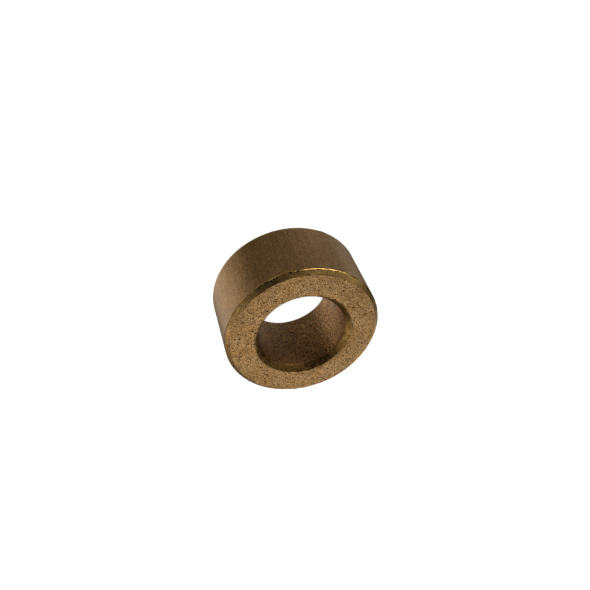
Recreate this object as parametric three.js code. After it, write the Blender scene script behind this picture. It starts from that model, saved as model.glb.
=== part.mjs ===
// Plain sleeve bushing of sintered, oil-filled bronze.
//
// The real bushing is one piece: bronze powder is pressed in a die, sintered, filled with oil
// and sized. It is pressed into a housing by its outside diameter, and a shaft runs in its bore.
// Millimetres, +Z up along the bore. The origin is the centre of the lower end face.
import * as THREE from "three";

// Driving dimensions. The bushing is a nominal inch size: 9/16 bore, 1 outside, 1/2 long.
const INCH = 25.4;
const OUTSIDE_DIAMETER = 1 * INCH;
const BORE_DIAMETER = (9 / 16) * INCH;
const LENGTH = (1 / 2) * INCH;

// The punches form a lead-in chamfer at both ends of both diameters.
const OUTER_CHAMFER = { leg: 0.7, angle: 45 }; // leg along the end face, degrees from the face
const BORE_CHAMFER = { leg: 0.8, angle: 50 };

// The sizing tools burnish the corner where a chamfer meets a cylinder. The core rod also rubs
// the bore's mouth rounder than the outer rim of the end face, which stays almost sharp.
const SIZED_CORNER_RADIUS = 0.3;
const MOUTH_CORNER_RADIUS = 0.2;
const RIM_CORNER_RADIUS = 0.08;

// Facets: flats round the axis, and flats in each half of a rounded corner.
const FLATS_ROUND = 144;
const FLATS_PER_HALF_CORNER = 1;

const BRONZE = { color: 0x8f6b42, roughness: 0.5, metalness: 1.0 };

// How far a chamfer runs along the axis.
function chamferDepth({ leg, angle }) {
  return leg * Math.tan(THREE.MathUtils.degToRad(angle));
}

// The corners of half the wall's section, as (radius, height), before they are rounded. They
// start in the bore and go down over the lower end face to the outside.
function lowerCorners() {
  const bore = BORE_DIAMETER / 2;
  const outside = OUTSIDE_DIAMETER / 2;
  return [
    { at: [bore, chamferDepth(BORE_CHAMFER)], radius: SIZED_CORNER_RADIUS },
    { at: [bore + BORE_CHAMFER.leg, 0], radius: MOUTH_CORNER_RADIUS },
    { at: [outside - OUTER_CHAMFER.leg, 0], radius: RIM_CORNER_RADIUS },
    { at: [outside, chamferDepth(OUTER_CHAMFER)], radius: SIZED_CORNER_RADIUS },
  ];
}

// The upper end is the lower end turned over, taken in the opposite order.
function upperCorners() {
  return lowerCorners()
    .reverse()
    .map(({ at: [r, z], radius }) => ({ at: [r, LENGTH - z], radius }));
}

// A closed path round these corners, each replaced by an arc that touches both its sides.
function roundedPath(corners) {
  const path = new THREE.Path();
  const points = corners.map(({ at }) => new THREE.Vector2(...at));
  corners.forEach(({ radius }, i) => {
    const corner = points[i];
    const before = points.at(i - 1).clone().sub(corner);
    const after = points[(i + 1) % points.length].clone().sub(corner);
    const half = Math.abs(before.angleTo(after)) / 2;
    // An arc takes at most a little under half of either side, so neighbours never cross.
    const room = 0.45 * Math.min(before.length(), after.length());
    const tangent = Math.min(radius / Math.tan(half), room);
    const fitted = tangent * Math.tan(half);
    const inward = before.clone().normalize().add(after.clone().normalize()).normalize();
    const centre = corner.clone().addScaledVector(inward, fitted / Math.sin(half));
    const start = corner.clone().addScaledVector(before.normalize(), tangent).sub(centre);
    const end = corner.clone().addScaledVector(after.normalize(), tangent).sub(centre);
    const clockwise = start.cross(end) < 0;
    path.absarc(centre.x, centre.y, fitted, start.angle(), end.angle(), clockwise);
  });
  path.closePath();
  return path;
}

// The wall's whole section, turned once round the axis. LatheGeometry turns about Y, so the
// result is stood up along Z.
function sleeveGeometry() {
  const section = roundedPath([...lowerCorners(), ...upperCorners()]);
  const outline = section.getPoints(FLATS_PER_HALF_CORNER);
  const turned = new THREE.LatheGeometry(outline, FLATS_ROUND);
  return turned.rotateX(Math.PI / 2);
}

const bushing = new THREE.Group();
bushing.name = "sintered_bronze_bushing";

const sleeve = new THREE.Mesh(sleeveGeometry(), new THREE.MeshStandardMaterial(BRONZE));
sleeve.name = "bushing_sleeve";
bushing.add(sleeve);

export default bushing;
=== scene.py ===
import math

import bpy
import numpy as np
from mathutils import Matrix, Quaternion, Vector


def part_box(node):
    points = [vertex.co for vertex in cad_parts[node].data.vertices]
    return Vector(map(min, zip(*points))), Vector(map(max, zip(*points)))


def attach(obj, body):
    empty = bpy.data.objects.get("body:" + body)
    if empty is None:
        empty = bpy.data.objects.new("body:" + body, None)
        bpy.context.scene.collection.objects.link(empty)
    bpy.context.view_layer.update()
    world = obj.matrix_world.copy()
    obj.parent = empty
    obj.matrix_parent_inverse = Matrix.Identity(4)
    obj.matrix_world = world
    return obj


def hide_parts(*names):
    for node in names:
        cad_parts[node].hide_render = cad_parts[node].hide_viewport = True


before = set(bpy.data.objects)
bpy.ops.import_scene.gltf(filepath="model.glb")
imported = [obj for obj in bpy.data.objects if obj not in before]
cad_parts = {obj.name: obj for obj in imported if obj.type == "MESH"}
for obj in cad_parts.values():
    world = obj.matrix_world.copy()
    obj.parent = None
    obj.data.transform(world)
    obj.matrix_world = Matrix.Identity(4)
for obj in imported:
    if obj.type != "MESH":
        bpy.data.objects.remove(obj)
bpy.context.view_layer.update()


# ---- The sleeve -------------------------------------------------------------------------------
# The whole object: a plain bushing of bronze powder, pressed in a die, sintered, filled with oil
# and sized. Its outside is pressed into a housing, and a shaft runs in its bore. The powder shows
# on the end faces, which only the punches touch, and the sizing tools close it elsewhere.

MM = 0.001
INCH = 25.4 * MM
sleeve_low, sleeve_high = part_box("bushing_sleeve")
OUTSIDE_RADIUS = (sleeve_high[0] - sleeve_low[0]) / 2
LENGTH = sleeve_high[2] - sleeve_low[2]
BORE_RADIUS = 9 / 16 * INCH / 2
OUTER_CHAMFER_LEG = 0.7 * MM       # along the end face, and the depth is along the axis
OUTER_CHAMFER_DEPTH = OUTER_CHAMFER_LEG * math.tan(math.radians(45))
BORE_CHAMFER_LEG = 0.8 * MM
BORE_CHAMFER_DEPTH = BORE_CHAMFER_LEG * math.tan(math.radians(50))
SIZED_CORNER_RADIUS = 0.3 * MM     # where a chamfer meets a cylinder
MOUTH_CORNER_RADIUS = 0.2 * MM     # where the bore's chamfer meets the end face
RIM_CORNER_RADIUS = 0.08 * MM      # where the outer chamfer meets the end face
MOUTH_RADIUS = BORE_RADIUS + BORE_CHAMFER_LEG

# The flat stretches of the section, each between two corners, and how far apart its rows are.
STRETCHES = 5
BORE, BORE_CHAMFER, END_FACE, OUTER_CHAMFER, OUTSIDE = range(STRETCHES)
ROW_SPACING = {BORE: 0.45 * MM, BORE_CHAMFER: 0.13 * MM, END_FACE: 0.105 * MM,
               OUTER_CHAMFER: 0.13 * MM, OUTSIDE: 0.30 * MM}
ROWS_PER_CORNER = 5
STEPS_ROUND = 500


def section_corners():
    """The wall's eight corners as (radius, height, rounding, stretch that follows), from the foot
    of the bore out over the lower face, up the outside and back in over the upper face."""
    lower = [
        (BORE_RADIUS, BORE_CHAMFER_DEPTH, SIZED_CORNER_RADIUS),
        (MOUTH_RADIUS, 0.0, MOUTH_CORNER_RADIUS),
        (OUTSIDE_RADIUS - OUTER_CHAMFER_LEG, 0.0, RIM_CORNER_RADIUS),
        (OUTSIDE_RADIUS, OUTER_CHAMFER_DEPTH, SIZED_CORNER_RADIUS),
    ]
    upper = [(r, LENGTH - z, rounding) for r, z, rounding in reversed(lower)]
    follows = [BORE_CHAMFER, END_FACE, OUTER_CHAMFER, OUTSIDE,
               OUTER_CHAMFER, END_FACE, BORE_CHAMFER, BORE]
    return [(*corner, stretch) for corner, stretch in zip(lower + upper, follows)]


def section_profile():
    """The closed section as rows of points, with each row's outward normal and its share of each
    stretch. A corner is an arc tangent to both its sides, and a side is divided evenly."""
    corners = section_corners()
    at = np.array([corner[:2] for corner in corners])
    rounding = np.array([corner[2] for corner in corners])
    before = np.roll(at, 1, axis=0) - at
    after = np.roll(at, -1, axis=0) - at
    before /= np.linalg.norm(before, axis=1, keepdims=True)
    side_lengths = np.linalg.norm(after, axis=1)
    after /= side_lengths[:, None]
    half_angle = np.arccos(np.clip((before * after).sum(axis=1), -1, 1)) / 2
    tangent = rounding / np.tan(half_angle)
    points, normals, shares = [], [], []
    for i, corner in enumerate(corners):
        entering, leaving = corners[i - 1][3], corner[3]
        bisector = (before[i] + after[i]) / np.linalg.norm(before[i] + after[i])
        centre = at[i] + bisector * rounding[i] / np.sin(half_angle[i])
        start = at[i] + before[i] * tangent[i] - centre
        end = at[i] + after[i] * tangent[i] - centre
        first = math.atan2(start[1], start[0])
        sweep = (math.atan2(end[1], end[0]) - first + math.pi) % (2 * math.pi) - math.pi
        done = np.linspace(0, 1, ROWS_PER_CORNER)
        outward = np.stack([np.cos(first + sweep * done), np.sin(first + sweep * done)], axis=1)
        share = np.zeros((ROWS_PER_CORNER, STRETCHES))
        share[:, entering] += 1 - done
        share[:, leaving] += done
        points.append(centre + outward * rounding[i])
        normals.append(outward)
        shares.append(share)
        flat = side_lengths[i] - tangent[i] - tangent[(i + 1) % len(corners)]
        rows = max(1, round(flat / ROW_SPACING[leaving]))
        done = np.arange(1, rows)[:, None] / rows
        share = np.zeros((rows - 1, STRETCHES))
        share[:, leaving] = 1
        points.append(at[i] + after[i] * (tangent[i] + flat * done))
        normals.append(np.repeat(outward[-1:], rows - 1, axis=0))
        shares.append(share)
    return np.concatenate(points), np.concatenate(normals), np.concatenate(shares)


def carried_round(rz):
    """Rows of (radius, height) carried round the axis: at angle a, (r cos a, r sin a, z)."""
    angle = np.arange(STEPS_ROUND)[:, None] * 2 * math.pi / STEPS_ROUND
    height = np.broadcast_to(rz[:, 1], (STEPS_ROUND, len(rz)))
    return np.stack([rz[:, 0] * np.cos(angle), rz[:, 0] * np.sin(angle), height], axis=2)


LATTICE = (64, 64, 64)    # cells in a table of random values, after which it repeats


def unevenness(at, width, seed):
    """Smooth random heights from -1 to 1: one value at each point of a cubic lattice of this width,
    blended between the eight nearest by a smooth step."""
    table = np.random.default_rng(seed).uniform(-1, 1, LATTICE)
    cell = np.floor(at / width).astype(int)
    part = at / width - cell
    part = part * part * (3 - 2 * part)
    height = np.zeros(at.shape[:-1])
    for corner in np.ndindex(2, 2, 2):
        nearness = np.where(np.array(corner) == 1, part, 1 - part).prod(axis=-1)
        i, j, k = np.moveaxis((cell + corner) % LATTICE, -1, 0)
        height += nearness * table[i, j, k]
    return height


def pit_depths(at, spacing, smallest_and_largest, seed):
    """Round-bottomed pits, one at a random place in each cell of a cubic lattice: at a share s of
    the pit's radius the depth is (1 - s squared) squared, from 1 in the middle to 0 at its edge."""
    rng = np.random.default_rng(seed)
    places = rng.uniform(0, 1, (*LATTICE, 3))
    radii = rng.uniform(*smallest_and_largest, LATTICE)
    cell = np.floor(at / spacing).astype(int)
    depth = np.zeros(at.shape[:-1])
    for step in np.ndindex(3, 3, 3):
        near = cell + step - 1
        i, j, k = np.moveaxis(near % LATTICE, -1, 0)
        middle = (near + places[i, j, k]) * spacing
        share = ((at - middle) ** 2).sum(axis=-1) / radii[i, j, k] ** 2
        depth = np.maximum(depth, np.clip(1 - share, 0, 1) ** 2)
    return depth


def fading(distance, reach):
    """A bell that fades from 1: e to the power of minus the square of distance over reach."""
    return np.exp(-(distance / reach) ** 2)


def facing(at, side):
    """How squarely points face a side: the cosine of the angle between them round the axis, times
    the side's length."""
    return (at @ side) / np.hypot(at[..., 0], at[..., 1])


def in_corner(share, one, other):
    """Where two stretches meet: four times the product of their shares, 1 halfway round."""
    return 4 * share[..., one] * share[..., other]


# Marks of the press and of use, as how deep and how wide they are. The mouth is rubbed on one
# side of its upper end. The rims are burnished and carry a painted highlight, most on one side.
OUT_OF_ROUND_DEPTH = 0.010 * MM
OUT_OF_ROUND_WIDTH = 5 * MM
CLUMP_DEPTH = 0.008 * MM            # clumps of grains
CLUMP_WIDTH = 0.34 * MM
SWELL_DEPTH = 0.005 * MM            # low swells, wider than the clumps
SWELL_WIDTH = 1.1 * MM
PIT_DEPTH = 0.085 * MM
PIT_SPACING = 1.15 * MM
PIT_RADII = (0.10 * MM, 0.30 * MM)
CRUMBLING_DEPTH = 0.13 * MM         # grains lost from the mouth's edge
CRUMBLING_REACH = 0.22 * MM
CRUMB_WIDTH = 0.42 * MM
CRUMB_GROUP_WIDTH = 1.7 * MM
RUBBED_SIDE = np.array([-1.0, 0.12, 0.0])
RUB_DEPTH = 0.20 * MM
RUB_REACH = 0.55 * MM
DENT_DEPTH = 0.07 * MM              # knocks on the rims
DENT_SPACING = 3.1 * MM
DENT_RADII = (0.15 * MM, 0.75 * MM)
RIM_WEAR_DEPTH = 0.018 * MM
RIM_WEAR_WIDTH = 0.4 * MM
# The side where the rims get the most burnish and the strongest painted highlight.
PAINTED_HIGHLIGHT_SIDE = np.array([-0.6, -0.8, 0.0])


def surface_height(at, share):
    """How far the real surface stands off the drawn one: a little out of round, grainy and pitted
    where the powder is open, crumbled along the bore's mouth, rubbed low on one side of that mouth,
    and dented where a rim has been knocked."""
    open_powder = share[..., END_FACE] + 0.5 * share[..., BORE] + 0.12 * share[..., OUTSIDE]
    chamfers = share[..., BORE_CHAMFER] + share[..., OUTER_CHAMFER]
    height = OUT_OF_ROUND_DEPTH * unevenness(at, OUT_OF_ROUND_WIDTH, 1)
    height += CLUMP_DEPTH * unevenness(at, CLUMP_WIDTH, 2) * (open_powder + 0.8 * chamfers)
    height += SWELL_DEPTH * unevenness(at, SWELL_WIDTH, 3) * (open_powder + 1.6 * chamfers)
    height -= PIT_DEPTH * pit_depths(at, PIT_SPACING, PIT_RADII, 4) * open_powder

    outside_mouth = np.clip(np.hypot(at[..., 0], at[..., 1]) - MOUTH_RADIUS, 0, None)
    crumbs = unevenness(at, CRUMB_WIDTH, 5) + 0.25 * unevenness(at, CRUMB_GROUP_WIDTH, 6)
    at_mouth = share[..., END_FACE] * fading(outside_mouth, CRUMBLING_REACH)
    at_mouth += in_corner(share, END_FACE, BORE_CHAMFER)
    height -= CRUMBLING_DEPTH * np.clip(at_mouth, 0, 1) * np.clip(crumbs, 0, 1)

    rubbed = np.clip(facing(at, RUBBED_SIDE), 0, 1) ** 2 * fading(outside_mouth, RUB_REACH)
    upper = np.clip(at[..., 2] / LENGTH * 2 - 1, 0, 1)
    height -= RUB_DEPTH * rubbed * upper * share[..., END_FACE]

    rims = in_corner(share, OUTER_CHAMFER, OUTSIDE) + in_corner(share, OUTER_CHAMFER, END_FACE)
    rims = np.clip(rims + 0.5 * share[..., OUTER_CHAMFER], 0, 1)
    height -= DENT_DEPTH * rims * pit_depths(at, DENT_SPACING, DENT_RADII, 7)
    height += RIM_WEAR_DEPTH * rims * unevenness(at, RIM_WEAR_WIDTH, 8)
    return height


def grid_mesh(name, at):
    """A mesh of quads on a grid that closes on itself both ways, with its faces outwards."""
    around, along = at.shape[:2]
    index = np.arange(around * along).reshape(around, along)
    beside = np.roll(index, -1, axis=0)
    quads = np.stack([index, beside, np.roll(beside, -1, axis=1), np.roll(index, -1, axis=1)], axis=2)
    quads = quads.reshape(-1, 4)
    mesh = bpy.data.meshes.new(name)
    mesh.vertices.add(around * along)
    mesh.vertices.foreach_set("co", at.astype(np.float32).ravel())
    mesh.loops.add(quads.size)
    mesh.loops.foreach_set("vertex_index", quads.astype(np.int32).ravel())
    mesh.polygons.add(len(quads))
    mesh.polygons.foreach_set("loop_start", np.arange(0, quads.size, 4, dtype=np.int32))
    mesh.polygons.foreach_set("use_smooth", np.ones(len(quads), dtype=bool))
    mesh.update(calc_edges=True)
    return mesh


profile, profile_normals, profile_shares = section_profile()
share = np.broadcast_to(profile_shares, (STEPS_ROUND, *profile_shares.shape))
drawn = carried_round(profile)
surface = drawn + carried_round(profile_normals) * surface_height(drawn, share)[..., None]
sleeve_mesh = grid_mesh("bushing_sleeve_surface", surface)

# What the material needs to know of each place, as the three parts of one attribute: how open the
# powder is, how far it is burnished, and whether it lies in the bore. The burnish also brings a paler
# colour that is partly a painted highlight. It follows the outer corners, most on one side, and
# shows a little over the rubbed side of the mouth.
BURNISH_REACH = 0.25 * MM
BURNISH_PATCH_WIDTH = 1.3 * MM
MOUTH_RUB_REACH = 0.3 * MM
drawn_radius = np.hypot(drawn[..., 0], drawn[..., 1])
up_from_corner = np.minimum(drawn[..., 2], LENGTH - drawn[..., 2]) - OUTER_CHAMFER_DEPTH
outer_corner = fading(np.hypot(up_from_corner, drawn_radius - OUTSIDE_RADIUS), BURNISH_REACH)
toward_highlight_side = np.clip(0.3 + 0.9 * facing(drawn, PAINTED_HIGHLIGHT_SIDE), 0.05, 1)
toward_highlight_side *= 0.8 + 0.35 * unevenness(drawn, BURNISH_PATCH_WIDTH, 9)
mouth_rub = np.clip(facing(drawn, RUBBED_SIDE), 0, 1) ** 2
mouth_rub *= fading(drawn_radius - MOUTH_RADIUS, MOUTH_RUB_REACH)
chamfers = share[..., OUTER_CHAMFER] + share[..., BORE_CHAMFER]
finish = np.stack([
    share[..., END_FACE] + (0.75 - 0.6 * toward_highlight_side) * share[..., OUTER_CHAMFER],
    np.clip((0.4 * chamfers + outer_corner) * toward_highlight_side + 0.3 * mouth_rub, 0, 1),
    share[..., BORE] + 0.6 * share[..., BORE_CHAMFER],
], axis=-1)
finish_layer = sleeve_mesh.attributes.new("finish", "FLOAT_VECTOR", "POINT")
finish_layer.data.foreach_set("vector", finish.astype(np.float32).ravel())

# Painted shade darkens the bore's lead-in and reaches a little onto the end face round the mouth,
# with a ragged edge, less on the rubbed side of the mouth.
SHADE_REACH = 0.16 * MM
SHADE_EDGE_WIDTH = 0.3 * MM
SHADE_PATCH_WIDTH = 0.5 * MM
shade_round_mouth = fading(drawn_radius - MOUTH_RADIUS, SHADE_REACH) * share[..., END_FACE]
shade_round_mouth *= np.clip(0.5 + 1.6 * unevenness(drawn, SHADE_EDGE_WIDTH, 10), 0, 1) * (1 - mouth_rub)
lead_in_shade = share[..., BORE_CHAMFER] * (0.8 + 0.4 * unevenness(drawn, SHADE_PATCH_WIDTH, 11)) + shade_round_mouth
lead_in_shade_layer = sleeve_mesh.attributes.new("painted_shade", "FLOAT", "POINT")
lead_in_shade_layer.data.foreach_set("value", np.clip(lead_in_shade, 0, 1).astype(np.float32).ravel())


def linear(hex_colour):
    """An sRGB hex colour as the linear RGBA that a shader takes."""
    channels = [int(hex_colour[i:i + 2], 16) / 255 for i in (1, 3, 5)]
    return (*[c / 12.92 if c <= 0.04045 else ((c + 0.055) / 1.055) ** 2.4 for c in channels], 1.0)


def add(tree, kind, settings=None, **links):
    """Adds a node. Settings are its own properties or the values of its inputs, and links join an
    input, named with _ for a space or given as in_0, in_1 and so on, to another node's output."""
    node = tree.nodes.new(kind)
    for name, value in (settings or {}).items():
        if isinstance(name, int):
            node.inputs[name].default_value = value
        elif hasattr(node, name):
            setattr(node, name, value)
        else:
            node.inputs[name].default_value = value
    for name, source in links.items():
        key = int(name[3:]) if name.startswith("in_") else name.replace("_", " ")
        tree.links.new(source, node.inputs[key])
    return node


# Sintered tin bronze, filled with oil. Copper with a tenth of tin gives a brown gold, and the
# oxide of the furnace and the oil in the pores darken it. The powder's grains, 0.1 to 0.2 mm
# across, each lie at their own slant and take the light differently, with pores between them.
# Sizing smears them shut, draws fine lines along the axis and burnishes the corners, which are
# given a paler gold that is partly a painted highlight. The most slanted few grains get a painted glint.
BODY = linear("#cc9e62")
BODY_PALE = linear("#d6ad76")
OILED = linear("#b7894f")
OILED_PALE = linear("#c89e66")
# A pale gold for the burnished corners, paler than the metal so that it is partly a painted highlight.
BURNISH_AND_HIGHLIGHT = linear("#e4ba68")
IN_BORE = linear("#cc9c64")
# Painted shade for the bore's lead-in.
LEAD_IN_SHADE_COLOUR = linear("#8a6931")
PORE = linear("#3a2713")
GRAIN_SIZE = 0.14 * MM
PORE_SIZE = 0.15 * MM
LARGE_PORE_SPACING = 0.8 * MM
CLOUD_SIZE = 2.6 * MM
SIZING_LINE_SPACING = 0.26 * MM
RELIEF_DEPTH = 0.027 * MM

# Amounts that change with the finish: first on the plain outside, then what is added to that where
# the powder is open, where the metal is burnished, and in the bore.
AMOUNTS = {
    "graininess": (0.70, (-0.1, -0.25, 0.5)),
    "openness": (0.0, (0.085, -0.03, 0.075)),
    "roughness": (0.32, (0.05, -0.23, -0.09)),
    "oil_film": (0.13, (-0.12, -0.09, -0.11)),
}

# The painted glint is a brighter colour given to the most slanted grains: its strength and rarity.
MIDDLE_TONE = 0.55                         # the grain's tone that leaves the colour as it is
PAINTED_GLINT_STRENGTH = 0.6
PAINTED_GLINT_RARITY = 12.0                        # a power, so that only the most slanted grains glint
SLANT_ROUGHNESS = 0.14                     # what the most slanted grains add
HOLE_VARIATION = 0.13                      # what chance adds to a hole's radius, in spacings
ROUGHNESS_OF_MARKS = (0.16, 0.08, 0.05)    # pores, sizing lines, clouds
RELIEF_OF_MARKS = (-1.0, -0.9, 1.5)        # pores, grains, sizing lines

bronze = bpy.data.materials.new("sintered_bronze")
bronze.use_nodes = True
tree = bronze.node_tree
shader = tree.nodes["Principled BSDF"]
place = add(tree, "ShaderNodeTexCoord").outputs["Object"]
finish_here = add(tree, "ShaderNodeAttribute", {"attribute_name": "finish"}).outputs["Vector"]
on_face, burnish_and_highlight, in_bore = add(tree, "ShaderNodeSeparateXYZ", in_0=finish_here).outputs
amount = {}
for name, (on_outside, added) in AMOUNTS.items():
    change = add(tree, "ShaderNodeVectorMath", {"operation": "DOT_PRODUCT", 1: added}, in_0=finish_here)
    amount[name] = add(tree, "ShaderNodeMath", {"operation": "ADD", 1: on_outside},
                       in_0=change.outputs["Value"]).outputs[0]

# Each grain of powder is one cell, with a random tone and slant that show most in the bore and
# least on the burnished corners.
grains = add(tree, "ShaderNodeTexVoronoi", {"Scale": 1 / GRAIN_SIZE}, Vector=place)
tone_of_grain, slant_of_grain, _ = add(tree, "ShaderNodeSeparateColor",
                                       in_0=grains.outputs["Color"]).outputs

# Pores: a fine sponge of dark specks, and larger holes here and there. Both are densest on the end
# faces, a little thinner in the bore and nearly shut on the sized outside.
sponge = add(tree, "ShaderNodeTexNoise", {"Scale": 1 / PORE_SIZE, "Detail": 3.0, "Roughness": 0.62},
             Vector=place).outputs["Fac"]
sponge = add(tree, "ShaderNodeMath", {"operation": "ADD"}, in_0=sponge,
             in_1=amount["openness"]).outputs[0]
specks = add(tree, "ShaderNodeMapRange", {"From Min": 0.59, "From Max": 0.655}, in_0=sponge).outputs[0]
holes = add(tree, "ShaderNodeTexVoronoi", {"Scale": 1 / LARGE_PORE_SPACING}, Vector=place)
size_of_hole = add(tree, "ShaderNodeSeparateColor", in_0=holes.outputs["Color"]).outputs[0]
reach = add(tree, "ShaderNodeMath", {"operation": "MULTIPLY_ADD", 1: HOLE_VARIATION}, in_0=size_of_hole,
            in_2=amount["openness"]).outputs[0]
depth = add(tree, "ShaderNodeMath", {"operation": "SUBTRACT"}, in_0=reach,
            in_1=holes.outputs["Distance"]).outputs[0]
large_pores = add(tree, "ShaderNodeMapRange", {"From Min": -0.05, "From Max": 0.02}, in_0=depth).outputs[0]
pores = add(tree, "ShaderNodeMath", {"operation": "MAXIMUM"}, in_0=specks, in_1=large_pores).outputs[0]

# Lines that the die and the core rod drew along the axis: a noise drawn out along Z, which is only
# a fine mottle on the end faces. Broad clouds are where handling and oil have left the metal uneven.
squeezed = add(tree, "ShaderNodeMapping", {"Scale": (1, 1, 0.045)}, Vector=place).outputs["Vector"]
lines = add(tree, "ShaderNodeTexNoise", {"Scale": 1 / SIZING_LINE_SPACING, "Detail": 2.0, "Roughness": 0.6},
            Vector=squeezed).outputs["Fac"]
clouds = add(tree, "ShaderNodeTexNoise", {"Scale": 1 / CLOUD_SIZE, "Detail": 3.0, "Roughness": 0.55},
             Vector=place).outputs["Fac"]

# Colour: powdery on the end faces, oiled and streaked on the sized outside, a paler gold on the
# burnished corners that is partly a painted highlight, painted shade in the bore's lead-in, and
# dark in the pores. Each grain is then a little lighter or darker than the rest, and a few get a
# painted glint, a brighter colour.
cloudy = add(tree, "ShaderNodeMapRange", {"From Min": 0.35, "From Max": 0.65}, in_0=clouds).outputs[0]
streaky = add(tree, "ShaderNodeMapRange", {"From Min": 0.25, "From Max": 0.75}, in_0=lines).outputs[0]
powder = add(tree, "ShaderNodeMix", {"data_type": "RGBA", 6: BODY, 7: BODY_PALE}, in_0=cloudy).outputs[2]
oiled = add(tree, "ShaderNodeMix", {"data_type": "RGBA", 6: OILED, 7: OILED_PALE}, in_0=streaky).outputs[2]
tone = add(tree, "ShaderNodeMix", {"data_type": "RGBA"}, in_0=on_face, in_6=oiled, in_7=powder).outputs[2]
tone = add(tree, "ShaderNodeMix", {"data_type": "RGBA", 7: IN_BORE}, in_0=in_bore, in_6=tone).outputs[2]
tone = add(tree, "ShaderNodeMix", {"data_type": "RGBA", 7: BURNISH_AND_HIGHLIGHT}, in_0=burnish_and_highlight, in_6=tone).outputs[2]
# Painted shade over the bore's lead-in and round its mouth.
painted_shade = add(tree, "ShaderNodeAttribute", {"attribute_name": "painted_shade"}).outputs["Fac"]
tone = add(tree, "ShaderNodeMix", {"data_type": "RGBA", 7: LEAD_IN_SHADE_COLOUR}, in_0=painted_shade, in_6=tone).outputs[2]
# A painted glint: the most slanted grains are given a brighter colour, on top of each grain's own tone.
painted_glint = add(tree, "ShaderNodeMath", {"operation": "POWER", 1: PAINTED_GLINT_RARITY}, in_0=slant_of_grain).outputs[0]
grain_tone_and_glint = add(tree, "ShaderNodeMath", {"operation": "SUBTRACT", 1: MIDDLE_TONE},
            in_0=tone_of_grain).outputs[0]
grain_tone_and_glint = add(tree, "ShaderNodeMath", {"operation": "MULTIPLY_ADD", 1: PAINTED_GLINT_STRENGTH}, in_0=painted_glint,
            in_2=grain_tone_and_glint).outputs[0]
grain_tone_and_glint = add(tree, "ShaderNodeMath", {"operation": "MULTIPLY_ADD", 2: 1.0}, in_0=grain_tone_and_glint,
            in_1=amount["graininess"]).outputs[0]
tone = add(tree, "ShaderNodeVectorMath", {"operation": "SCALE"}, in_0=tone, Scale=grain_tone_and_glint).outputs[0]
darkness = add(tree, "ShaderNodeMapRange", {"To Min": 0.85, "To Max": 0.4}, in_0=burnish_and_highlight).outputs[0]
darkness = add(tree, "ShaderNodeMath", {"operation": "MULTIPLY"}, in_0=pores, in_1=darkness).outputs[0]
tone = add(tree, "ShaderNodeMix", {"data_type": "RGBA", 7: PORE}, in_0=darkness, in_6=tone).outputs[2]
tree.links.new(tone, shader.inputs["Base Color"])

# Roughness: matt where the powder is open or cloudy, glossier in the bore, shiny on the corners.
marks = add(tree, "ShaderNodeCombineXYZ", in_0=pores, in_1=lines, in_2=clouds).outputs[0]
marked = add(tree, "ShaderNodeVectorMath", {"operation": "DOT_PRODUCT", 1: ROUGHNESS_OF_MARKS},
             in_0=marks).outputs["Value"]
rough = add(tree, "ShaderNodeMath", {"operation": "ADD"}, in_0=amount["roughness"],
            in_1=marked).outputs[0]
slanted = add(tree, "ShaderNodeMath", {"operation": "MULTIPLY", 1: SLANT_ROUGHNESS},
              in_0=slant_of_grain).outputs[0]
rough = add(tree, "ShaderNodeMath", {"operation": "MULTIPLY_ADD"}, in_0=slanted,
            in_1=amount["graininess"], in_2=rough).outputs[0]
tree.links.new(rough, shader.inputs["Roughness"])

# Relief: every grain a low dome, every pore a pit, and the lines shallow grooves.
dome = add(tree, "ShaderNodeMath", {"operation": "MULTIPLY"}, in_0=amount["graininess"],
           in_1=grains.outputs["Distance"]).outputs[0]
relief = add(tree, "ShaderNodeCombineXYZ", in_0=pores, in_1=dome, in_2=lines).outputs[0]
relief = add(tree, "ShaderNodeVectorMath", {"operation": "DOT_PRODUCT", 1: RELIEF_OF_MARKS},
             in_0=relief).outputs["Value"]
bump = add(tree, "ShaderNodeBump", {"Strength": 0.8, "Distance": RELIEF_DEPTH}, Height=relief)
tree.links.new(bump.outputs["Normal"], shader.inputs["Normal"])

# The oil that sizing leaves on the outside is a thin clear film, absent where pores drink it.
dry = add(tree, "ShaderNodeMapRange", {"To Min": 1.0, "To Max": 0.0}, in_0=pores).outputs[0]
film = add(tree, "ShaderNodeMath", {"operation": "MULTIPLY"}, in_0=amount["oil_film"],
           in_1=dry).outputs[0]
tree.links.new(film, shader.inputs["Coat Weight"])
shader.inputs["Coat Roughness"].default_value = 0.35
shader.inputs["Metallic"].default_value = 1.0

sleeve = bpy.data.objects.new("bushing_sleeve_surface", sleeve_mesh)
bpy.context.collection.objects.link(sleeve)
sleeve_mesh.materials.append(bronze)
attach(sleeve, "root")
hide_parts("bushing_sleeve")


# ---- The floor --------------------------------------------------------------------------------
# The bushing stands on a light table, a sheet of opal acrylic lit from below. It shows as plain
# white, and the lights under it are the glow that reaches the metal.

TABLE_HALF_WIDTH = 0.6
CORNERS = [(-1, -1), (1, -1), (1, 1), (-1, 1)]
table_mesh = bpy.data.meshes.new("light_table")
table_mesh.from_pydata([(x * TABLE_HALF_WIDTH, y * TABLE_HALF_WIDTH, 0) for x, y in CORNERS],
                       [], [(0, 1, 2, 3)])
light_table = bpy.data.objects.new("light_table", table_mesh)
bpy.context.collection.objects.link(light_table)
opal = bpy.data.materials.new("opal_acrylic_lit_from_below")
opal.use_nodes = True
opal_shader = opal.node_tree.nodes["Principled BSDF"]
opal_shader.inputs["Base Color"].default_value = linear("#f6f6f4")
opal_shader.inputs["Emission Color"].default_value = linear("#ffffff")
opal_shader.inputs["Emission Strength"].default_value = 1.0
table_mesh.materials.append(opal)
for ray in ("diffuse", "glossy", "transmission", "shadow"):
    setattr(light_table, f"visible_{ray}", False)


# ---- The light --------------------------------------------------------------------------------
# Round soft boxes half a metre away, given by elevation, azimuth from +X, and watts, with -Y as
# the front. The key lights the upper face, low ones rake the sides and catch the rims, and those
# below the horizon are the light table's glow. The world shows white and adds no light.

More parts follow.
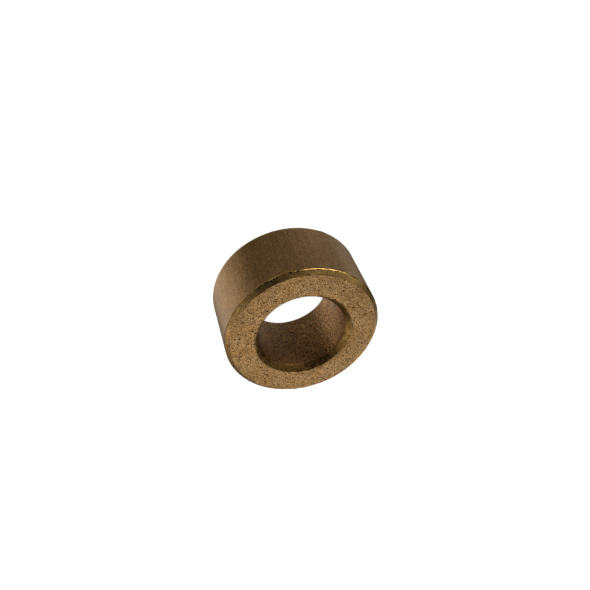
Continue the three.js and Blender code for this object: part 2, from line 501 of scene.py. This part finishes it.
SOFT_BOX_DISTANCE = 0.5
SOFT_BOX_DIAMETER = 0.21
SOFT_BOXES = {
    "key_above_behind": (48, 80, 0.40),
    "low_behind": (0, 103, 1.25),
    "low_left": (0, 206, 0.45),
    "low_front_left": (6, 229, 0.50),
    "side_right": (17, 14, 0.26),
    "side_right_behind": (28, 34, 0.18),
    "side_front_right": (28, 343, 0.12),
    "side_left": (21, 174, 0.09),
    "glow_front": (-25, 283, 0.06),
    "glow_right": (-48, 0, 0.13),
    "glow_right_behind": (-48, 30, 0.10),
    "glow_right_front": (-48, 330, 0.07),
    "glow_left_behind": (-48, 150, 0.06),
    "glow_left_front": (-48, 240, 0.02),
    "glow_under_front": (-48, 270, 0.03),
    "glow_under_left": (-70, 180, 0.15),
}
for name, (elevation, azimuth, watts) in SOFT_BOXES.items():
    box = bpy.data.lights.new(name, "AREA")
    box.shape = "DISK"
    box.size = SOFT_BOX_DIAMETER
    box.energy = watts
    lamp = bpy.data.objects.new(name, box)
    bpy.context.collection.objects.link(lamp)
    up, round_axis = math.radians(elevation), math.radians(azimuth)
    towards = Vector((math.cos(up) * math.cos(round_axis), math.cos(up) * math.sin(round_axis),
                      math.sin(up)))
    lamp.location = towards * SOFT_BOX_DISTANCE + Vector((0, 0, LENGTH / 2))
    lamp.rotation_mode = "QUATERNION"
    lamp.rotation_quaternion = (-towards).to_track_quat("-Z", "Y")

world = bpy.data.worlds.new("white_studio")
bpy.context.scene.world = world
world.use_nodes = True
world.node_tree.nodes["Background"].inputs["Color"].default_value = (1, 1, 1, 1)
for ray in ("diffuse", "glossy", "transmission", "scatter"):
    setattr(world.cycles_visibility, ray, False)
bpy.context.scene.view_settings.view_transform = "Standard"


# ---- The camera -------------------------------------------------------------------------------
# It looks down on the upper end at 48 degrees from 12 cm away. It is rolled nearly upside down,
# which puts the upper end below the outside and +X on the left.

CAMERA_AT = Vector((0, -80.235, 94.513)) * MM
AIMED_AT = Vector((-1.080, -1.781, 4.804)) * MM
ROLL = math.radians(158.07)
camera_data = bpy.data.cameras.new("camera")
camera_data.lens = 43.709
camera_data.sensor_width = 36
camera_data.clip_start = 0.001
camera = bpy.data.objects.new("camera", camera_data)
bpy.context.collection.objects.link(camera)
camera.location = CAMERA_AT
camera.rotation_mode = "QUATERNION"
look = (AIMED_AT - CAMERA_AT).to_track_quat("-Z", "Y")
camera.rotation_quaternion = look @ Quaternion((0, 0, 1), ROLL)
bpy.context.scene.camera = camera

bpy.context.view_layer.update()
